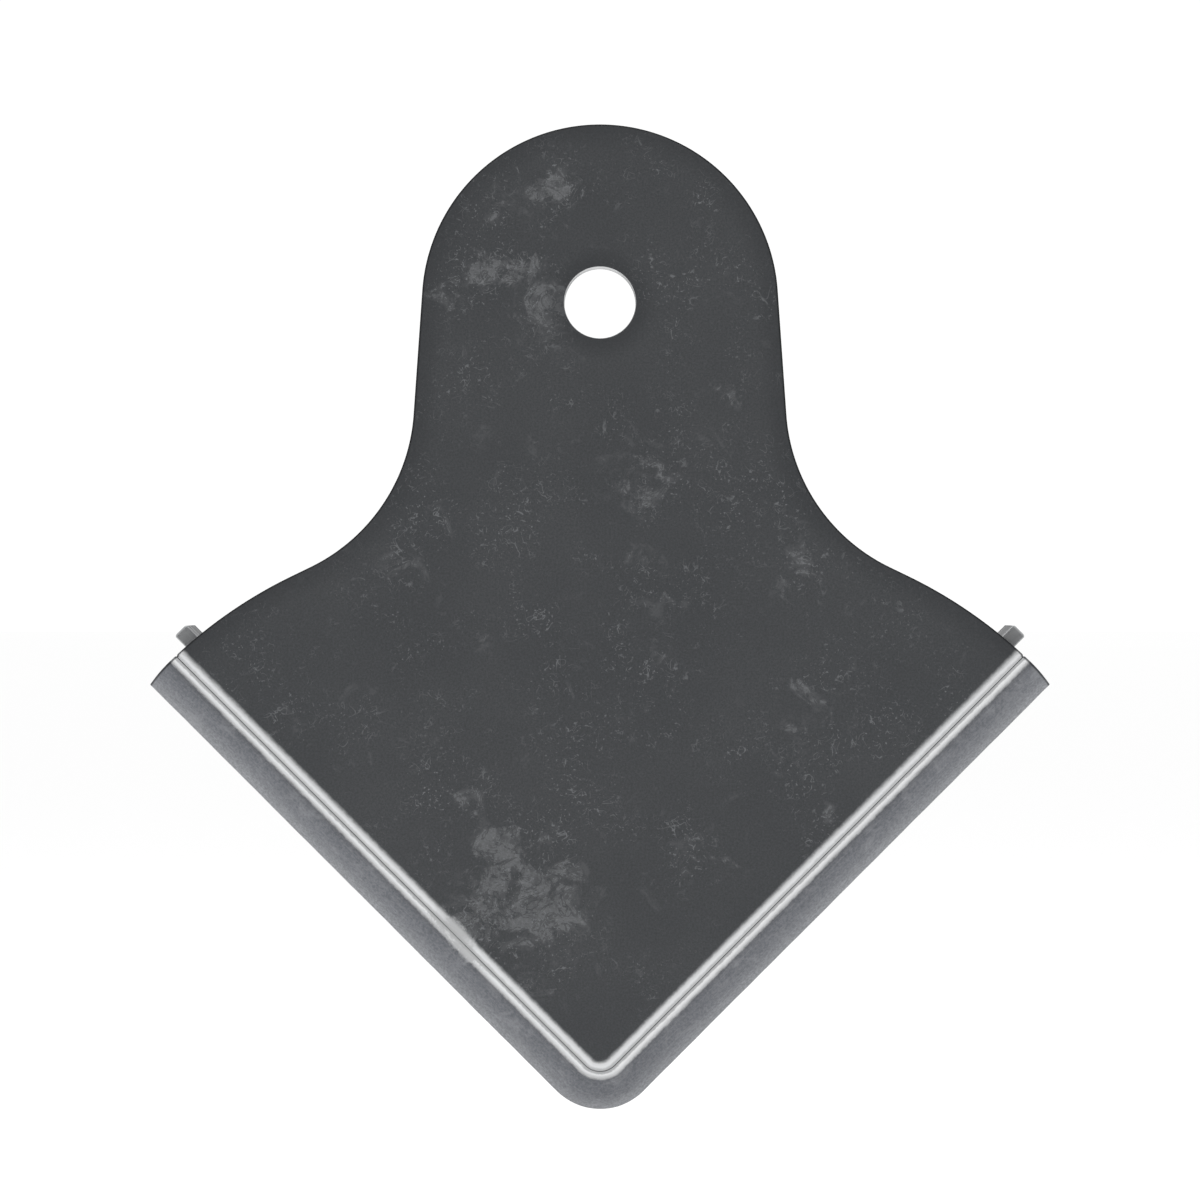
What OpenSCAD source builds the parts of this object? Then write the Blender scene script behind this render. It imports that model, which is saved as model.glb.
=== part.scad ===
// Flat V-point bucket tooth with a replaceable cutting edge held by two flat keys.
// Millimetres, upright: +Z up, front face towards -Y. The origin is the centre of the
// bolt hole on the rear face. Beside the point, u is the distance in from a cutting
// edge and v the distance along it, up from where the two edges would meet.

/* [Plate] */
// Diameter of the bolt hole, a medium clearance hole for an M24 bolt
bolt_hole_d = 26; // [20:1:32]
// Thickness of the tooth plate and of the cutting edge
plate_t = 12; // [10:1:16]
// Radius of the eye about the bolt hole
eye_r = 65; // [58:1:70]
// Angle by which each flank spreads below the eye
flank_flare = 4; // [2:0.5:6]
// Length of the straight flank below the eye
flank_l = 45.5; // [38:0.5:50]
// Radius of the concave waist fillet
waist_r = 67; // [60:1:72]
// Fall of the short straight shoulder below the horizontal
shoulder_fall = 25.8; // [24:0.2:28]
// Length of the straight shoulder before it rounds over
shoulder_flat = 7.5; // [4:0.5:12]

/* [Cutting edge] */
// Half of the width across the two corners of the cutting edge
half_w = 165.2; // [160:0.1:170]
// Drop from the bolt hole to where the two cutting edges would meet
point_drop = 304.7; // [300:0.1:312]
// Radius of the rounded point
point_r = 22.5; // [21:0.5:24]
// Width of the cutting edge from its sharp side to the seam
edge_w = 14.6; // [14:0.1:15.5]
// Width of the convex bevel ground on its front
bevel_w = 11.8; // [10:0.1:12]
// Angle through which the bevel turns as it rounds down to the sharp side
bevel_turn = 40; // [20:1:44]
// Thickness left at the sharp side
edge_land = 2; // [1:0.5:3]
// Gap at the seam between the cutting edge and the plate
seam_gap = 0.4; // [0.2:0.1:0.8]
// Width of the plate's chamfer along the seam
seam_bevel_w = 2.8; // [1:0.1:3]
// Depth of the chamfers along the seam
seam_bevel_t = 0.9; // [0.5:0.1:1.5]

/* [Keys] */
// Thickness of the flat bar that each key is cut from
key_t = 6; // [5:0.5:6]
// Width of that bar, which stands on edge behind the plate
key_w = 30; // [25:1:35]
// Inner corner of the key's seat, as a distance in from the cutting edge
key_u = 18.8; // [18.5:0.1:19.5]
// Length of key that stands out past the shoulder
key_proud = 6.5; // [2:0.5:10]
// Space round a key in its hooks
key_play = 0.3; // [0.2:0.05:0.5]

/* [Hooks] */
// Width of each hook along the key
hook_w = 16; // [12:1:18]
// Thickness of a hook's welded leg
hook_leg = 13.5; // [11:0.5:14]
// Thickness of a hook's free tip
hook_tip = 9; // [7:0.5:9]
// Thickness of a hook's bridge behind the key
hook_bridge = 12; // [8:1:14]
// Place of the lowest hook's middle along the key
hook_first = 56; // [56:0.5:58]
// Distance from each hook to the next
hook_pitch = 38.5; // [36:0.5:39]
// Side of the square stop block behind the point
stop_side = 18; // [16:1:18]
// Height of the stop block
stop_h = 20; // [12:1:30]

/* [Lock screws and welds] */
// Thread diameter of the lock screws
screw_d = 8; // [6:1:8]
// Length of the lock screws
screw_l = 25; // [22:1:35]
// Size across the flats of the jam nuts
nut_af = 13; // [12:0.5:13]
// Thickness of the jam nuts
nut_t = 4; // [3:0.5:5]
// Leg of the fillet welds
weld_leg = 5; // [3:0.5:5]
// Leg of the short welds beside the sharp side of the cutting edge
edge_weld_leg = 4; // [3:0.5:4]

/* [Hidden] */
$fn = 96;
over = 1; // how far a cutting shape runs past what it cuts
paint = [0.29, 0.30, 0.31];
ground_steel = [0.62, 0.63, 0.65];
bar_steel = [0.66, 0.67, 0.68];
cut_steel = [0.40, 0.41, 0.43];
zinc = [0.74, 0.75, 0.77];
weld_steel = [0.46, 0.46, 0.47];

// Outline of the right half, from the eye down to the corner of the cutting edge
flank_top = eye_r * [cos(flank_flare), sin(flank_flare)];
flank_end = flank_top + flank_l * [sin(flank_flare), -cos(flank_flare)];
waist_c = flank_end + waist_r * [cos(flank_flare), sin(flank_flare)];
shoulder_out = [sin(shoulder_fall), cos(shoulder_fall)];
waist_end = waist_c - waist_r * shoulder_out;
round_start = waist_end + shoulder_flat * [cos(shoulder_fall), -sin(shoulder_fall)];
corner = [half_w, half_w - point_drop];
// The rounded shoulder leaves the straight one smoothly and ends at the corner
chord = corner - round_start;
shoulder_r = -(chord * chord) / (2 * chord * shoulder_out);
shoulder_c = round_start - shoulder_r * shoulder_out;

// Places beside the cutting edge
plate_u = edge_w + seam_gap;
shoulder_c_u = (shoulder_c[1] + point_drop - shoulder_c[0]) / sqrt(2);
shoulder_c_v = (shoulder_c[1] + point_drop + shoulder_c[0]) / sqrt(2);
plate_point_r = point_r - plate_u;
// Where the straight shoulder, carried on, meets the plate's side of the seam
start_u = (round_start[1] + point_drop - round_start[0]) / sqrt(2);
shoulder_run = (start_u - plate_u) / sin(45 + shoulder_fall);
reach = 40; // how far the cutter of the rounded shoulder stands outside it
bevel_chord = [bevel_w, edge_land - plate_t];
bevel_r = norm(bevel_chord) / 2 / sin(bevel_turn / 2);
bevel_c = [bevel_w / 2, -(plate_t + edge_land) / 2]
    + bevel_r * cos(bevel_turn / 2) * [-bevel_chord[1], bevel_chord[0]] / norm(bevel_chord);
stop_u = plate_u + 3;
stop_far = stop_u + stop_side;
edge_foot_u = edge_w - seam_gap; // the edge's hooks are relieved from here inwards
slot_lo = key_u - key_play;
slot_hi = key_u + key_t + key_play;
key_low = stop_far + key_play;
key_high = shoulder_v(key_u + key_t / 2) + key_proud;
key_chamfer = 0.6;
hook_top = key_w + 2 * key_play + hook_bridge;
hook_corner_r = 8;
hook_top_v = hook_first + 4 * hook_pitch;
screw_depth = key_play + key_w / 2;
screw_play = 0.05;
socket_af = screw_d / 2;
socket_depth = 5;

function at_uv(u, v) = [(v - u) / sqrt(2), (u + v) / sqrt(2) - point_drop];
function shoulder_v(u) = shoulder_c_v + sqrt(pow(shoulder_r, 2) - pow(u - shoulder_c_u, 2));
function hex_r(across_flats) = across_flats / 2 / cos(30);

// Children of left() and right() are placed by [u, depth behind the plate, v]
module left() {
    translate([0, 0, -point_drop]) rotate([0, -45, 0]) children();
}

module right() {
    mirror([1, 0, 0]) left() children();
}

// A profile in [u, depth] carried up both cutting edges and round the point
module v_bar() {
    for (side = [0, 1])
        mirror([side, 0, 0]) left() translate([0, 0, point_r])
            linear_extrude(height = shoulder_v(0)) children();
    left() translate([point_r, 0, point_r]) rotate([90, 0, 0]) rotate([0, 0, 180])
        rotate_extrude(angle = 90) translate([point_r, 0]) rotate(180) children();
}

// The plate's right side from the point up, its rounded shoulder still a sharp corner
function right_side() = [
    at_uv(plate_u, point_r),
    round_start + shoulder_run * [cos(shoulder_fall), -sin(shoulder_fall)],
    waist_end, waist_c, flank_end, flank_top
];

function mirrored(points) = [
    for (i = [len(points) - 1:-1:0]) [-points[i][0], points[i][1]]
];

module plate_outline() {
    difference() {
        union() {
            circle(r = eye_r);
            translate(at_uv(point_r, point_r)) circle(r = plate_point_r);
            polygon(concat(
                [at_uv(point_r, point_r)], right_side(), [[0, 0]], mirrored(right_side())
            ));
        }
        circle(d = bolt_hole_d);
        for (side = [0, 1]) mirror([side, 0]) {
            translate(waist_c) circle(r = waist_r);
            difference() {
                polygon([
                    round_start - over * shoulder_out, round_start + reach * shoulder_out,
                    corner + reach * [1, 1], corner + reach * [1, -1], corner - over * shoulder_out
                ]);
                translate(shoulder_c) circle(r = shoulder_r);
            }
        }
    }
}

module tooth_plate() {
    color(paint) difference() {
        rotate([90, 0, 0]) linear_extrude(height = plate_t) plate_outline();
        v_bar() polygon([
            [plate_u - over, -plate_t - over], [plate_u - over, seam_bevel_t - plate_t],
            [plate_u, seam_bevel_t - plate_t], [plate_u + seam_bevel_w, -plate_t],
            [plate_u + seam_bevel_w, -plate_t - over]
        ]);
    }
}

// The section of the cutting edge, its front corner rounded off by the convex bevel
module edge_profile() {
    intersection() {
        translate(bevel_c) circle(r = bevel_r);
        polygon([
            [0, 0], [0, -plate_t], [edge_w - seam_bevel_t, -plate_t],
            [edge_w, seam_bevel_t - plate_t], [edge_w, 0]
        ]);
    }
}

module cutting_edge() {
    color(ground_steel) intersection() {
        v_bar() edge_profile();
        union() for (side = [0, 1])
            mirror([side, 0, 0]) translate([shoulder_c[0], over, shoulder_c[1]])
                rotate([90, 0, 0]) cylinder(r = shoulder_r, h = plate_t + 2 * over);
    }
}

// A flat bar on edge, chamfered at both ends so that it starts in its hooks
module key() {
    far_u = key_u + key_t;
    color(bar_steel) translate([0, key_w + key_play, 0]) rotate([90, 0, 0])
        linear_extrude(height = key_w) polygon([
            [key_u + key_chamfer, key_low], [far_u - key_chamfer, key_low],
            [far_u, key_low + key_chamfer], [far_u, key_high - key_chamfer],
            [far_u - key_chamfer, key_high], [key_u + key_chamfer, key_high],
            [key_u, key_high - key_chamfer], [key_u, key_low + key_chamfer]
        ]);
}

// Two legs and a rounded bridge around the key, from near_u to far_u
module hook_profile(near_u, far_u) {
    difference() {
        union() {
            translate([near_u, 0]) square([far_u - near_u, hook_top - hook_corner_r]);
            translate([near_u + hook_corner_r, hook_top - 2 * hook_corner_r])
                square([far_u - near_u - 2 * hook_corner_r, 2 * hook_corner_r]);
            for (u = [near_u + hook_corner_r, far_u - hook_corner_r])
                translate([u, hook_top - hook_corner_r]) circle(r = hook_corner_r);
        }
        translate([slot_lo, -over])
            square([slot_hi - slot_lo, key_w + 2 * key_play + over]);
    }
}

// Number 0 is the lowest: the plate's hooks have even numbers and the edge's odd ones
module hook_at(number) {
    translate([0, 0, hook_first + number * hook_pitch - hook_w / 2])
        linear_extrude(height = hook_w) children();
}

module plate_hook(number) {
    near_u = slot_lo - hook_tip;
    hook_at(number) difference() {
        hook_profile(near_u, slot_hi + hook_leg);
        translate([near_u - over, -over]) square([hook_tip + 2 * over, key_play + over]);
    }
}

// The uppermost plate hook is drilled through its leg for the lock screw
module upper_plate_hook() {
    difference() {
        plate_hook(4);
        translate([slot_hi - over, screw_depth, hook_top_v]) rotate([0, 90, 0])
            cylinder(d = screw_d + 2 * screw_play, h = hook_leg + 2 * over);
    }
}

module edge_hook(number) {
    far_u = slot_hi + hook_tip;
    hook_at(number) difference() {
        hook_profile(slot_lo - hook_leg, far_u);
        translate([edge_foot_u, -over])
            square([far_u - edge_foot_u + over, key_play + over]);
    }
}

module nose_stop() {
    color(cut_steel) left() translate([stop_u, 0, stop_u])
        cube([stop_side, stop_h, stop_side]);
}

module lock_screw() {
    color(zinc) translate([slot_hi, screw_depth, hook_top_v]) rotate([0, 90, 0])
        difference() {
            cylinder(d = screw_d, h = screw_l);
            translate([0, 0, screw_l - socket_depth])
                cylinder(r = hex_r(socket_af), h = socket_depth + over, $fn = 6);
        }
}

module jam_nut() {
    color(zinc) translate([slot_hi + hook_leg, screw_depth, hook_top_v]) rotate([0, 90, 0])
        difference() {
            cylinder(r = hex_r(nut_af), h = nut_t, $fn = 6);
            translate([0, 0, -over])
                cylinder(d = screw_d + 2 * screw_play, h = nut_t + 2 * over);
        }
}

// A fillet weld along one wall, and the part of it that turns an outside corner
module weld_run(length, leg) {
    linear_extrude(height = length) polygon([[0, 0], [leg, 0], [0, leg]]);
}

module weld_turn(leg) {
    rotate([-90, 0, 0]) rotate([0, 0, -90])
        rotate_extrude(angle = 90) polygon([[0, 0], [leg, 0], [0, leg]]);
}

// The weld round the end and both sides of a hook's foot, which lies from u = -length to 0
module foot_weld(length, leg) {
    translate([0, 0, -hook_w / 2]) weld_run(hook_w, leg);
    for (side = [0, 1]) mirror([0, 0, side]) translate([0, 0, hook_w / 2]) {
        rotate([0, -90, 0]) weld_run(length, leg);
        weld_turn(leg);
    }
}

module plate_hook_welds() {
    color(weld_steel) for (number = [0, 2, 4])
        translate([slot_hi + hook_leg, 0, hook_first + number * hook_pitch])
            foot_weld(hook_leg, weld_leg);
}

module edge_hook_welds() {
    color(weld_steel) for (number = [1, 3])
        translate([slot_lo - hook_leg, 0, hook_first + number * hook_pitch])
            mirror([1, 0, 0]) foot_weld(edge_foot_u - slot_lo + hook_leg, edge_weld_leg);
}

module nose_stop_weld() {
    run = stop_far - slot_hi - 1;
    color(weld_steel) left() translate([stop_far, 0, stop_far]) {
        translate([0, 0, -run]) weld_run(run, weld_leg);
        rotate([0, -90, 0]) weld_run(run, weld_leg);
        weld_turn(weld_leg);
    }
}

module left_key() { left() key(); }
module right_key() { right() key(); }
module left_plate_hook_lower() { color(cut_steel) left() plate_hook(0); }
module left_plate_hook_middle() { color(cut_steel) left() plate_hook(2); }
module left_plate_hook_upper() { color(cut_steel) left() upper_plate_hook(); }
module right_plate_hook_lower() { color(cut_steel) right() plate_hook(0); }
module right_plate_hook_middle() { color(cut_steel) right() plate_hook(2); }
module right_plate_hook_upper() { color(cut_steel) right() upper_plate_hook(); }
module left_edge_hook_lower() { color(cut_steel) left() edge_hook(1); }
module left_edge_hook_upper() { color(cut_steel) left() edge_hook(3); }
module right_edge_hook_lower() { color(cut_steel) right() edge_hook(1); }
module right_edge_hook_upper() { color(cut_steel) right() edge_hook(3); }
module left_lock_screw() { left() lock_screw(); }
module right_lock_screw() { right() lock_screw(); }
module left_jam_nut() { left() jam_nut(); }
module right_jam_nut() { right() jam_nut(); }
module left_plate_hook_welds() { left() plate_hook_welds(); }
module right_plate_hook_welds() { right() plate_hook_welds(); }
module left_edge_hook_welds() { left() edge_hook_welds(); }
module right_edge_hook_welds() { right() edge_hook_welds(); }

tooth_plate();
cutting_edge();
left_key();
right_key();
left_plate_hook_lower();
left_plate_hook_middle();
left_plate_hook_upper();
right_plate_hook_lower();
right_plate_hook_middle();
right_plate_hook_upper();
left_edge_hook_lower();
left_edge_hook_upper();
right_edge_hook_lower();
right_edge_hook_upper();
nose_stop();
left_lock_screw();
right_lock_screw();
left_jam_nut();
right_jam_nut();
left_plate_hook_welds();
right_plate_hook_welds();
left_edge_hook_welds();
right_edge_hook_welds();
nose_stop_weld();
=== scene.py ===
import math

import bmesh
import bpy
import numpy as np
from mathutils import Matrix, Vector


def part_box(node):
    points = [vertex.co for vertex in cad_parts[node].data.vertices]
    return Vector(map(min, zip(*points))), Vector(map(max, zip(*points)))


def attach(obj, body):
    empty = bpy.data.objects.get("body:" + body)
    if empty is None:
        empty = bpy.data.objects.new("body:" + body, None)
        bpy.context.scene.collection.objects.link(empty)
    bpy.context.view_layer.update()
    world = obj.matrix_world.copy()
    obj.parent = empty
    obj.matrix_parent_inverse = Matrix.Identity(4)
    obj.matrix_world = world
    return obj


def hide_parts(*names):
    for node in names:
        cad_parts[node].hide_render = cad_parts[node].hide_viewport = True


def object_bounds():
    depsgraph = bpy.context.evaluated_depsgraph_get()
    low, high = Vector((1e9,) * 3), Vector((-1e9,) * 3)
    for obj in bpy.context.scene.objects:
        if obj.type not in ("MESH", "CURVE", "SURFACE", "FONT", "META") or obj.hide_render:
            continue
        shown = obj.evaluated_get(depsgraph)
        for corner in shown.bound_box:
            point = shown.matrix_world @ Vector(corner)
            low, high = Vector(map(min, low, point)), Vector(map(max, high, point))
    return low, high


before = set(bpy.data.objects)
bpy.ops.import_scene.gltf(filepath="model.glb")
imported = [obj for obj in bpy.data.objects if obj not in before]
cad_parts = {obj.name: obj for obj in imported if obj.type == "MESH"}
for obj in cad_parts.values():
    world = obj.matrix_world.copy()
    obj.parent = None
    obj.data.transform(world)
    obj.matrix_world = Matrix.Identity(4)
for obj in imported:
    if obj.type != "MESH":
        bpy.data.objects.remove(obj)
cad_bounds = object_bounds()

# Studio. A plain pale floor and an even white surround, with one soft panel overhead. Two grey
# flags, one behind the camera and one facing it, keep bright steel from reading as white: metal
# that faces them looks darker than metal that turns away. The camera doesn't see them.
MM = 0.001
FRONT_DISTANCE = 1.538  # from the camera to the front face
VIEW_WIDTH = 0.4376  # what the frame takes in at that distance
VIEW_HEIGHT_AT = -0.1085
FLOOR_DROP = 0.12  # how far the floor lies below the point
SURROUND = 1.05

scene = bpy.context.scene
scene.view_settings.view_transform = "Standard"
camera_data = bpy.data.cameras.new("camera")
camera_data.sensor_width = 36.0
camera_data.lens = camera_data.sensor_width * FRONT_DISTANCE / VIEW_WIDTH
camera = bpy.data.objects.new("camera", camera_data)
camera.location = (0.0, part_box("tooth_plate")[0].y - FRONT_DISTANCE, VIEW_HEIGHT_AT)
camera.rotation_euler = (math.radians(90.0), 0.0, 0.0)
scene.collection.objects.link(camera)
scene.camera = camera

world = bpy.data.worlds.new("white surround")
world.use_nodes = True
world.node_tree.nodes["Background"].inputs["Color"].default_value = (1.0, 1.0, 1.0, 1.0)
world.node_tree.nodes["Background"].inputs["Strength"].default_value = SURROUND
scene.world = world

panel_light = bpy.data.lights.new("overhead panel", "AREA")
panel_light.shape = "RECTANGLE"
panel_light.size = 1.6
panel_light.size_y = 1.0
panel_light.energy = 14.0
panel = bpy.data.objects.new("overhead panel", panel_light)
panel.location = (-0.5, 0.2, 1.7)
panel.rotation_euler = (math.radians(-7.0), math.radians(-16.0), 0.0)
scene.collection.objects.link(panel)


def feed(shader_node, inputs):
    """Fills a shader node's inputs. A socket is linked, and any other value is set."""
    for key, value in inputs.items():
        if isinstance(value, bpy.types.NodeSocket):
            shader_node.id_data.links.new(value, shader_node.inputs[key])
        else:
            shader_node.inputs[key].default_value = value


def node(tree, kind, inputs=None, **settings):
    """Adds a shader node, with its settings and inputs."""
    made = tree.nodes.new("ShaderNode" + kind)
    for name, value in settings.items():
        setattr(made, name, value)
    feed(made, inputs or {})
    return made


def new_material(name):
    """An empty material with one Principled shader, and that shader."""
    material = bpy.data.materials.new(name)
    material.use_nodes = True
    return material, material.node_tree.nodes["Principled BSDF"]


def stage_plane(name, corners, material):
    """A flat four-cornered sheet that belongs to the studio."""
    mesh = bpy.data.meshes.new(name)
    mesh.from_pydata(corners, [], [(0, 1, 2, 3)])
    mesh.materials.append(material)
    plane = bpy.data.objects.new(name, mesh)
    scene.collection.objects.link(plane)
    return plane


floor_material, shader = new_material("pale floor")
tree = floor_material.node_tree
floor_cloud = node(tree, "TexNoise", {"Scale": 3.0, "Detail": 2.0})
floor_tint = node(tree, "ValToRGB", {"Fac": floor_cloud.outputs["Fac"]})
floor_tint.color_ramp.elements[0].color = (0.93, 0.93, 0.93, 1.0)
floor_tint.color_ramp.elements[1].color = (0.96, 0.96, 0.96, 1.0)
feed(shader, {
    "Base Color": floor_tint.outputs["Color"], "Roughness": 0.9, "Specular IOR Level": 0.0
})
floor_z = cad_bounds[0][2] - FLOOR_DROP
FLOOR_REACH = 40.0
stage_plane("floor", [
    (-FLOOR_REACH, -FLOOR_REACH, floor_z), (FLOOR_REACH, -FLOOR_REACH, floor_z),
    (FLOOR_REACH, FLOOR_REACH, floor_z), (-FLOOR_REACH, FLOOR_REACH, floor_z)
], floor_material)

FLAG_HALF = 1.7  # half its width, out where it fades into the surround
FLAG_CORE = 0.5  # radius of its dark middle
FLAG_GLOW = 0.12
FLAG_DISTANCE = 2.4
flag_material, shader = new_material("grey flag")
tree = flag_material.node_tree
flag_place = node(tree, "TexCoord").outputs["Object"]
flag_flat = node(tree, "VectorMath", {
    0: flag_place, 1: (1.0, 0.0, 1.0)
}, operation="MULTIPLY").outputs["Vector"]
flag_radius = node(tree, "VectorMath", {
    0: flag_flat, 1: (0.0, 0.0, VIEW_HEIGHT_AT)
}, operation="DISTANCE").outputs["Value"]
flag_fade = node(tree, "MapRange", {
    "Value": flag_radius, "From Min": FLAG_CORE, "From Max": FLAG_HALF,
    "To Min": FLAG_GLOW, "To Max": SURROUND
}, interpolation_type="SMOOTHSTEP").outputs["Result"]
flag_glow = node(tree, "Emission", {"Strength": flag_fade})
feed(tree.nodes["Material Output"], {"Surface": flag_glow.outputs["Emission"]})
for flag_name, flag_y in (("front_flag", -FLAG_DISTANCE), ("rear_flag", FLAG_DISTANCE)):
    flag = stage_plane(flag_name, [
        (across * FLAG_HALF, flag_y, VIEW_HEIGHT_AT + up * FLAG_HALF)
        for across, up in ((-1, -1), (-1, 1), (1, 1), (1, -1))
    ], flag_material)
    flag.visible_camera = False
    flag.visible_diffuse = flag_y < 0
    flag.visible_shadow = flag_y < 0


# Tooth plate. 12 mm wear-resistant plate, flame-cut to an eye, a waist and a V, drilled for the
# bolt and sprayed dark grey. Its front edges are rolled over by grinding, and along the seam
# they are worn bright.
PLATE_LOW, PLATE_HIGH = (np.array(corner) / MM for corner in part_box("tooth_plate"))
EDGE_LOW, EDGE_HIGH = (np.array(corner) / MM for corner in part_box("cutting_edge"))
PLATE_T = -PLATE_LOW[1]
EYE_R = PLATE_HIGH[2]
HALF_W = EDGE_HIGH[0]
POINT_R = 22.5
POINT_DROP = POINT_R * (math.sqrt(2) - 1) - EDGE_LOW[2]
SEAM_U = 14.88  # the plate's side of the seam, in from the cutting edge
FLANK_FLARE = 4.0
FLANK_L = 45.5
WAIST_R = 67.0
SHOULDER_FALL = 25.8
SHOULDER_FLAT = 7.5
BOLT_HOLE_R = 13.0
ARRIS = 0.3
BORE_ARRIS = 0.35
CORNER_R = 1.0
SEAM_ROLL_W = 2.9
SEAM_ROLL_T = 0.9
RIM_ROLL_W = 8.0
RIM_ROLL_T = 0.3
POINT_STEPS = 12
SEAM_STEPS = 112
CORNER_STEPS = 8
NEAR_W = 14.0  # the finely divided strip along the outline


def facing(degrees):
    """Unit directions in the plane of the plate, at angles up from +x."""
    turn = np.radians(degrees)
    return np.stack([np.cos(turn), np.sin(turn)], -1)


def at_uv(u, v):
    """The point u in from the right cutting edge and v along it, up from the virtual apex."""
    return np.stack(np.broadcast_arrays((v - u) / math.sqrt(2), (u + v) / math.sqrt(2) - POINT_DROP), -1)


def uv_at(x, z):
    """Distance in from the nearer cutting edge, bent round the point, and distance along it."""
    u = (z + POINT_DROP - np.abs(x)) / math.sqrt(2)
    v = (z + POINT_DROP + np.abs(x)) / math.sqrt(2)
    bent = POINT_R - np.hypot(POINT_R - u, POINT_R - v)
    return np.where((u < POINT_R) & (v < POINT_R), bent, u), v


def span(start, stop, count):
    """Points evenly along a straight line, without the last."""
    return np.linspace(start, stop, count, endpoint=False)


FLANK_TOP = EYE_R * facing(FLANK_FLARE)
FLANK_END = FLANK_TOP + FLANK_L * np.array([
    math.sin(math.radians(FLANK_FLARE)), -math.cos(math.radians(FLANK_FLARE))
])
WAIST_C = FLANK_END + WAIST_R * facing(FLANK_FLARE)
SHOULDER_OUT = facing(90 - SHOULDER_FALL)
WAIST_END = WAIST_C - WAIST_R * SHOULDER_OUT
ROUND_START = WAIST_END + SHOULDER_FLAT * facing(-SHOULDER_FALL)
CHORD = np.array([HALF_W, HALF_W - POINT_DROP]) - ROUND_START
SHOULDER_R = -(CHORD @ CHORD) / (2 * CHORD @ SHOULDER_OUT)
SHOULDER_C = ROUND_START - SHOULDER_R * SHOULDER_OUT
SHOULDER_U = (SHOULDER_C[1] + POINT_DROP - SHOULDER_C[0]) / math.sqrt(2)
SHOULDER_V = (SHOULDER_C[1] + POINT_DROP + SHOULDER_C[0]) / math.sqrt(2)


def shoulder_v(u, inside=0.0):
    """Where the rounded shoulder crosses the line at u: the height of a circle over its middle."""
    return SHOULDER_V + np.sqrt((SHOULDER_R - inside) ** 2 - (u - SHOULDER_U) ** 2)


def plate_side(inset):
    """Right side of the outline, moved in by inset, from the point to the top of the eye: arcs
    and lines, as points and the directions that face out. Beside the bolt hole the points lie
    level with even steps round the hole's rim."""
    point_turn = span(-90, -45, POINT_STEPS)
    seam_v = span(POINT_R, shoulder_v(SEAM_U + CORNER_R, CORNER_R), SEAM_STEPS)
    corner_c = at_uv(SEAM_U + CORNER_R, shoulder_v(SEAM_U + CORNER_R, CORNER_R))
    corner_top = math.degrees(math.atan2(*(corner_c - SHOULDER_C)[::-1]))
    corner_turn = span(-45, corner_top, CORNER_STEPS)
    shoulder_turn = span(corner_top, 90 - SHOULDER_FALL, 50)
    waist_turn = span(270 - SHOULDER_FALL, 180 + FLANK_FLARE, 44)
    rim = BOLT_HOLE_R + BORE_ARRIS
    beside_z = rim * np.sin(np.radians(np.linspace(-90, 90, 49)))
    flank_out = facing(FLANK_FLARE)
    flank_low = (FLANK_END - inset * flank_out)[1]
    flank_z = np.concatenate([
        span(flank_low, -rim, 14), beside_z[beside_z < (EYE_R - inset) * flank_out[1]]
    ])
    flank_x = (FLANK_TOP - inset * flank_out)[0] + math.tan(math.radians(FLANK_FLARE)) * (
        (FLANK_TOP - inset * flank_out)[1] - flank_z
    )
    eye_z = beside_z[beside_z >= (EYE_R - inset) * flank_out[1]]
    eye_turn = np.degrees(np.arcsin(eye_z / (EYE_R - inset)))
    eye_turn = np.concatenate([eye_turn, np.linspace(eye_turn[-1], 90, 55)[1:]])
    seam_out = facing(-45)
    stretches = [
        (at_uv(POINT_R, POINT_R) + (POINT_R - SEAM_U - inset) * facing(point_turn), facing(point_turn)),
        (at_uv(SEAM_U + inset, seam_v), np.tile(seam_out, (len(seam_v), 1))),
        (corner_c + (CORNER_R - inset) * facing(corner_turn), facing(corner_turn)),
        (SHOULDER_C + (SHOULDER_R - inset) * facing(shoulder_turn), facing(shoulder_turn)),
        (span(ROUND_START, WAIST_END, 4) - inset * SHOULDER_OUT, np.tile(SHOULDER_OUT, (4, 1))),
        (WAIST_C + (WAIST_R + inset) * facing(waist_turn), -facing(waist_turn)),
        (np.stack([flank_x, flank_z], -1), np.tile(flank_out, (len(flank_z), 1))),
        ((EYE_R - inset) * facing(eye_turn), facing(eye_turn)),
    ]
    points = np.concatenate([stretch[0] for stretch in stretches])
    outward = np.concatenate([stretch[1] for stretch in stretches])
    return points, outward


def skin_faces(index, loop=False, ring=False):
    """Four-cornered faces between neighbours on a grid of point numbers. Loop closes it along
    its length, and ring round its section."""
    here = index if loop else index[:-1]
    ahead = np.roll(index, -1, 0) if loop else index[1:]
    faces = np.stack([here, np.roll(here, -1, 1), np.roll(ahead, -1, 1), ahead], -1)
    return (faces if ring else faces[:, :-1]).reshape(-1, 4)


def make_piece(name, points, faces, values=None, sharp=35.0):
    """A mesh from points in millimetres. Points that coincide are merged, faces are turned to
    face outwards and edges sharper than the given angle stay crisp."""
    mesh = bpy.data.meshes.new(name)
    mesh.from_pydata(points * MM, [], [face for group in faces for face in group.tolist()])
    for label, value in (values or {}).items():
        mesh.attributes.new(label, "FLOAT", "POINT").data.foreach_set("value", np.ravel(value))
    work = bmesh.new()
    work.from_mesh(mesh)
    bmesh.ops.remove_doubles(work, verts=work.verts, dist=1e-7)
    bmesh.ops.dissolve_degenerate(work, edges=work.edges, dist=1e-7)
    bmesh.ops.recalc_face_normals(work, faces=work.faces)
    work.to_mesh(mesh)
    work.free()
    mesh.shade_smooth()
    mesh.set_sharp_from_angle(angle=math.radians(sharp))
    piece = bpy.data.objects.new(name, mesh)
    scene.collection.objects.link(piece)
    return piece


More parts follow.
